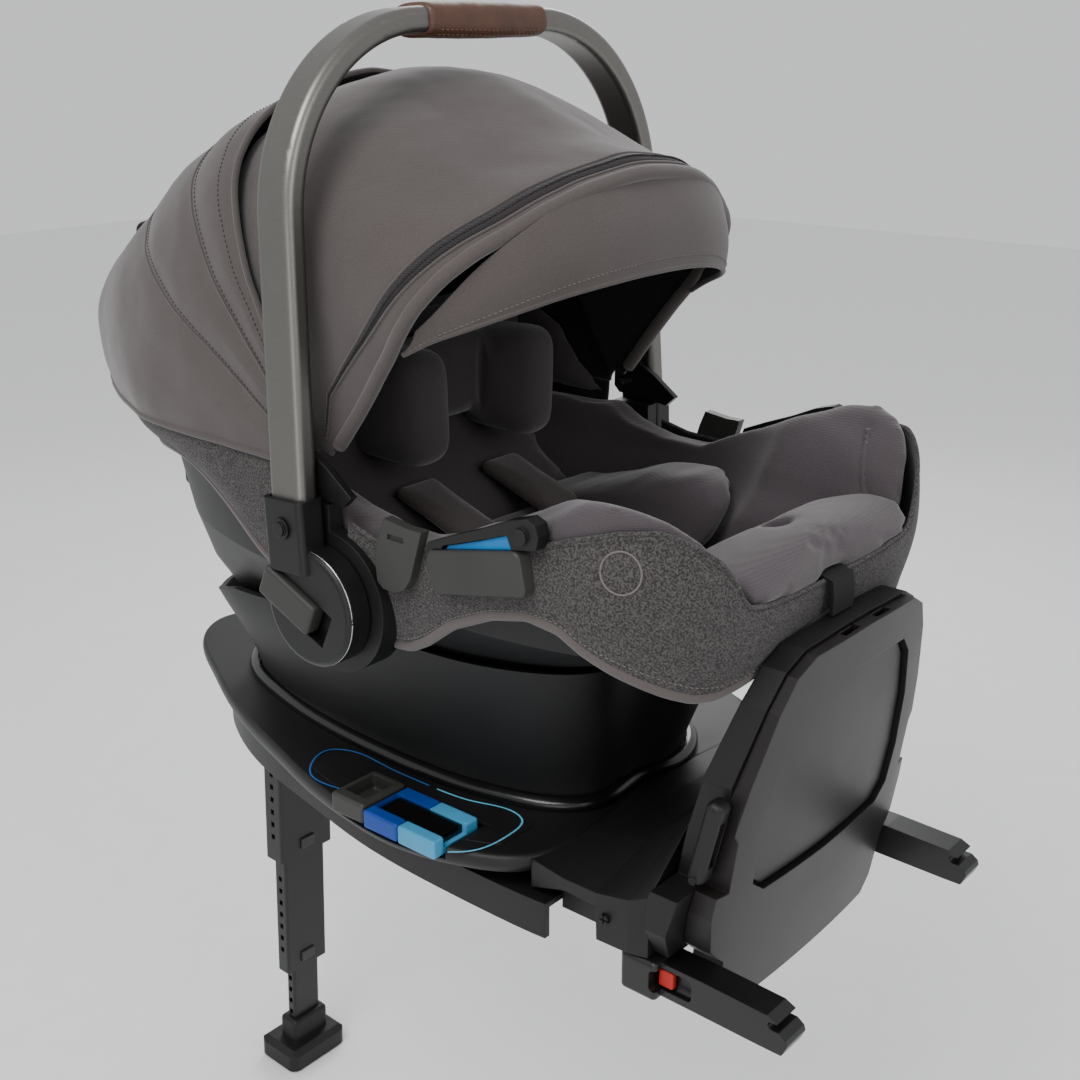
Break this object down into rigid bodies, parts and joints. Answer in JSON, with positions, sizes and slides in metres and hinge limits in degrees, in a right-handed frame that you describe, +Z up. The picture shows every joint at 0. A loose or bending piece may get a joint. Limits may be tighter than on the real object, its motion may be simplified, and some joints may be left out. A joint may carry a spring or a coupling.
{
  "type": "infant car seat",
  "caption": "Rear-facing infant carrier with canopy, visor and swinging handle, docked on a reclining base with load leg, rebound panel and rigid lower-anchor connectors.",
  "frame": {"origin": "midway between the two lower-anchor jaws, on the axis of the vehicle's anchor bar", "axes": "-Y towards the foot end and the vehicle's seat back, +Y towards the head end, +Z up, +X towards the infant's left; the middle plane is x = 0"},
  "size_m": [0.475, 0.8368, 1.1197],
  "materials": {
    "base_plastic": "fine moulded grain",
    "tub_plastic": "fine moulded grain",
    "gloss_trim": "polished",
    "panel_plastic": "satin with brown cast",
    "shell_plastic": "satin",
    "arm_plastic": "satin",
    "grey_plastic": "satin",
    "bright_blue": "satin",
    "deep_blue": "satin",
    "pale_blue": "satin",
    "window_black": "polished",
    "red_plastic": "satin",
    "connector_plastic": "semi-gloss",
    "handle_metal": "satin anodised",
    "leather": "fine pebble grain",
    "steel": "plain",
    "dark_steel": "satin powder coat",
    "leg_coat": "satin powder coat",
    "canopy_fabric": "smooth stretch weave",
    "heather_fabric": "two-tone twill",
    "knit_fabric": "soft jersey knit",
    "insert_fabric": "soft jersey knit",
    "pad_fabric": "soft plush",
    "webbing": "ribbed webbing"
  },
  "bodies": {
    "base": {"base_lower_shell": "base_plastic", "leg_socket": "base_plastic", "base_deck": "base_plastic", "tub_ring": "gloss_trim", "saddle": "base_plastic", "base_screws": "dark_steel", "rebound_panel_outer": "panel_plastic", "rebound_panel_insert": "panel_plastic", "rebound_panel_inner": "base_plastic", "gauge_plates": "base_plastic", "recline_frame_high": "deep_blue", "recline_frame_low": "pale_blue", "recline_window": "window_black"},
    "lock_off_right": {"belt_lock_off_right": "base_plastic"},
    "lock_off_left": {"belt_lock_off_left": "base_plastic"},
    "recline_handle": {"recline_handle": "grey_plastic"},
    "recline": {"recline_tub": "tub_plastic", "dock_bars": "steel"},
    "carrier": {"carrier_shell": "shell_plastic", "shell_latch_hooks": "steel", "release_housing": "shell_plastic", "side_skirt": "heather_fabric", "seat_pad": "knit_fabric", "tongue_pad": "knit_fabric", "infant_insert": "knit_fabric", "back_pad": "insert_fabric", "head_insert": "insert_fabric", "shoulder_pads": "pad_fabric", "harness_webbing": "webbing", "buckle_body": "arm_plastic", "belt_guides": "bright_blue", "guide_covers": "grey_plastic", "adapter_plates": "grey_plastic", "guide_frames": "arm_plastic", "hub_bases": "shell_plastic", "canopy_brackets": "arm_plastic", "canopy_rear": "canopy_fabric"},
    "release_handle": {"release_handle": "grey_plastic"},
    "buckle_button": {"buckle_button": "red_plastic"},
    "canopy": {"canopy_front": "canopy_fabric"},
    "visor": {"visor": "canopy_fabric"},
    "handle": {"handle_tube": "handle_metal", "handle_grip": "leather", "handle_arm_right": "arm_plastic", "handle_arm_left": "arm_plastic", "handle_rivets": "arm_plastic"},
    "handle_button_right": {"handle_button_right": "grey_plastic"},
    "handle_button_left": {"handle_button_left": "grey_plastic"},
    "leg_top": {"leg_upper": "leg_coat"},
    "leg_stage": {"leg_middle": "leg_coat"},
    "leg_end": {"leg_lower": "leg_coat", "leg_foot": "base_plastic"},
    "leg_button_upper": {"leg_button_upper": "grey_plastic"},
    "leg_button_middle": {"leg_button_middle": "grey_plastic"},
    "anchor_right": {"anchor_arm_right": "connector_plastic"},
    "anchor_left": {"anchor_arm_left": "connector_plastic"},
    "anchor_hook_right": {"anchor_hook_right": "steel"},
    "anchor_hook_left": {"anchor_hook_left": "steel"},
    "anchor_release_right": {"anchor_release_right": "red_plastic"},
    "anchor_release_left": {"anchor_release_left": "red_plastic"}
  },
  "joints": [
    {"name": "recline_tilt", "type": "hinge", "parent": "base", "child": "recline", "pos_m": [0, 0.672, 0.06], "axis": [1, 0, 0], "range_deg": [-6, 0]},
    {"name": "carrier_lift", "type": "slide", "parent": "recline", "child": "carrier", "axis": [0, 0, 1], "range_m": [0, 0.35]},
    {"name": "handle_swing", "type": "hinge", "parent": "carrier", "child": "handle", "pos_m": [0, 0.37, 0.235], "axis": [1, 0, 0], "range_deg": [-8, 52]},
    {"name": "handle_button_right_slide", "type": "slide", "parent": "handle", "child": "handle_button_right", "axis": [0, -0.9135, -0.4067], "range_m": [0, 0.01], "stiffness_N_per_m": 400},
    {"name": "handle_button_left_slide", "type": "slide", "parent": "handle", "child": "handle_button_left", "axis": [0, -0.9135, -0.4067], "range_m": [0, 0.01], "stiffness_N_per_m": 400},
    {"name": "canopy_fold", "type": "hinge", "parent": "carrier", "child": "canopy", "pos_m": [0, 0.395, 0.33], "axis": [1, 0, 0], "range_deg": [-44, 0]},
    {"name": "visor_tilt", "type": "hinge", "parent": "canopy", "child": "visor", "pos_m": [0, 0.302, 0.437], "axis": [1, 0, 0], "range_deg": [0, 14]},
    {"name": "release_handle_pull", "type": "slide", "parent": "carrier", "child": "release_handle", "axis": [0, 1, 0], "range_m": [0, 0.008], "stiffness_N_per_m": 400},
    {"name": "buckle_button_press", "type": "slide", "parent": "carrier", "child": "buckle_button", "axis": [0, 0, -1], "range_m": [0, 0.004], "stiffness_N_per_m": 400},
    {"name": "recline_handle_pull", "type": "slide", "parent": "base", "child": "recline_handle", "axis": [-1, 0, 0], "range_m": [0, 0.01], "stiffness_N_per_m": 400},
    {"name": "lock_off_right_swing", "type": "hinge", "parent": "base", "child": "lock_off_right", "pos_m": [-0.1375, 0.073, 0.082], "axis": [1, 0, 0], "range_deg": [-60, 0]},
    {"name": "lock_off_left_swing", "type": "hinge", "parent": "base", "child": "lock_off_left", "pos_m": [0.1375, 0.073, 0.082], "axis": [1, 0, 0], "range_deg": [-60, 0]},
    {"name": "leg_fold", "type": "hinge", "parent": "base", "child": "leg_top", "pos_m": [0, 0.668, -0.024], "axis": [1, 0, 0], "range_deg": [-90, 0]},
    {"name": "leg_upper_slide", "type": "slide", "parent": "leg_top", "child": "leg_stage", "axis": [0, -0.0436, 0.999], "range_m": [-0.02, 0.1]},
    {"name": "leg_lower_slide", "type": "slide", "parent": "leg_stage", "child": "leg_end", "axis": [0, -0.0436, 0.999], "range_m": [-0.02, 0.055]},
    {"name": "leg_upper_button_press", "type": "slide", "parent": "leg_top", "child": "leg_button_upper", "axis": [0, 0.999, 0.0436], "range_m": [0, 0.0015], "stiffness_N_per_m": 400},
    {"name": "leg_middle_button_press", "type": "slide", "parent": "leg_stage", "child": "leg_button_middle", "axis": [0, 0.999, 0.0436], "range_m": [0, 0.0015], "stiffness_N_per_m": 400},
    {"name": "anchor_right_slide", "type": "slide", "parent": "base", "child": "anchor_right", "axis": [0, 1, 0], "range_m": [0, 0.05]},
    {"name": "anchor_left_slide", "type": "slide", "parent": "base", "child": "anchor_left", "axis": [0, 1, 0], "range_m": [0, 0.05]},
    {"name": "anchor_right_latch", "type": "hinge", "parent": "anchor_right", "child": "anchor_hook_right", "pos_m": [-0.14, 0.04, -0.005], "axis": [1, 0, 0], "range_deg": [0, 12], "stiffness_Nm_per_rad": 0.05},
    {"name": "anchor_left_latch", "type": "hinge", "parent": "anchor_left", "child": "anchor_hook_left", "pos_m": [0.14, 0.04, -0.005], "axis": [1, 0, 0], "range_deg": [0, 12], "stiffness_Nm_per_rad": 0.05},
    {"name": "anchor_right_release", "type": "slide", "parent": "anchor_right", "child": "anchor_release_right", "axis": [0, -1, 0], "range_m": [0, 0.01], "stiffness_N_per_m": 400},
    {"name": "anchor_left_release", "type": "slide", "parent": "anchor_left", "child": "anchor_release_left", "axis": [0, -1, 0], "range_m": [0, 0.01], "stiffness_N_per_m": 400}
  ]
}
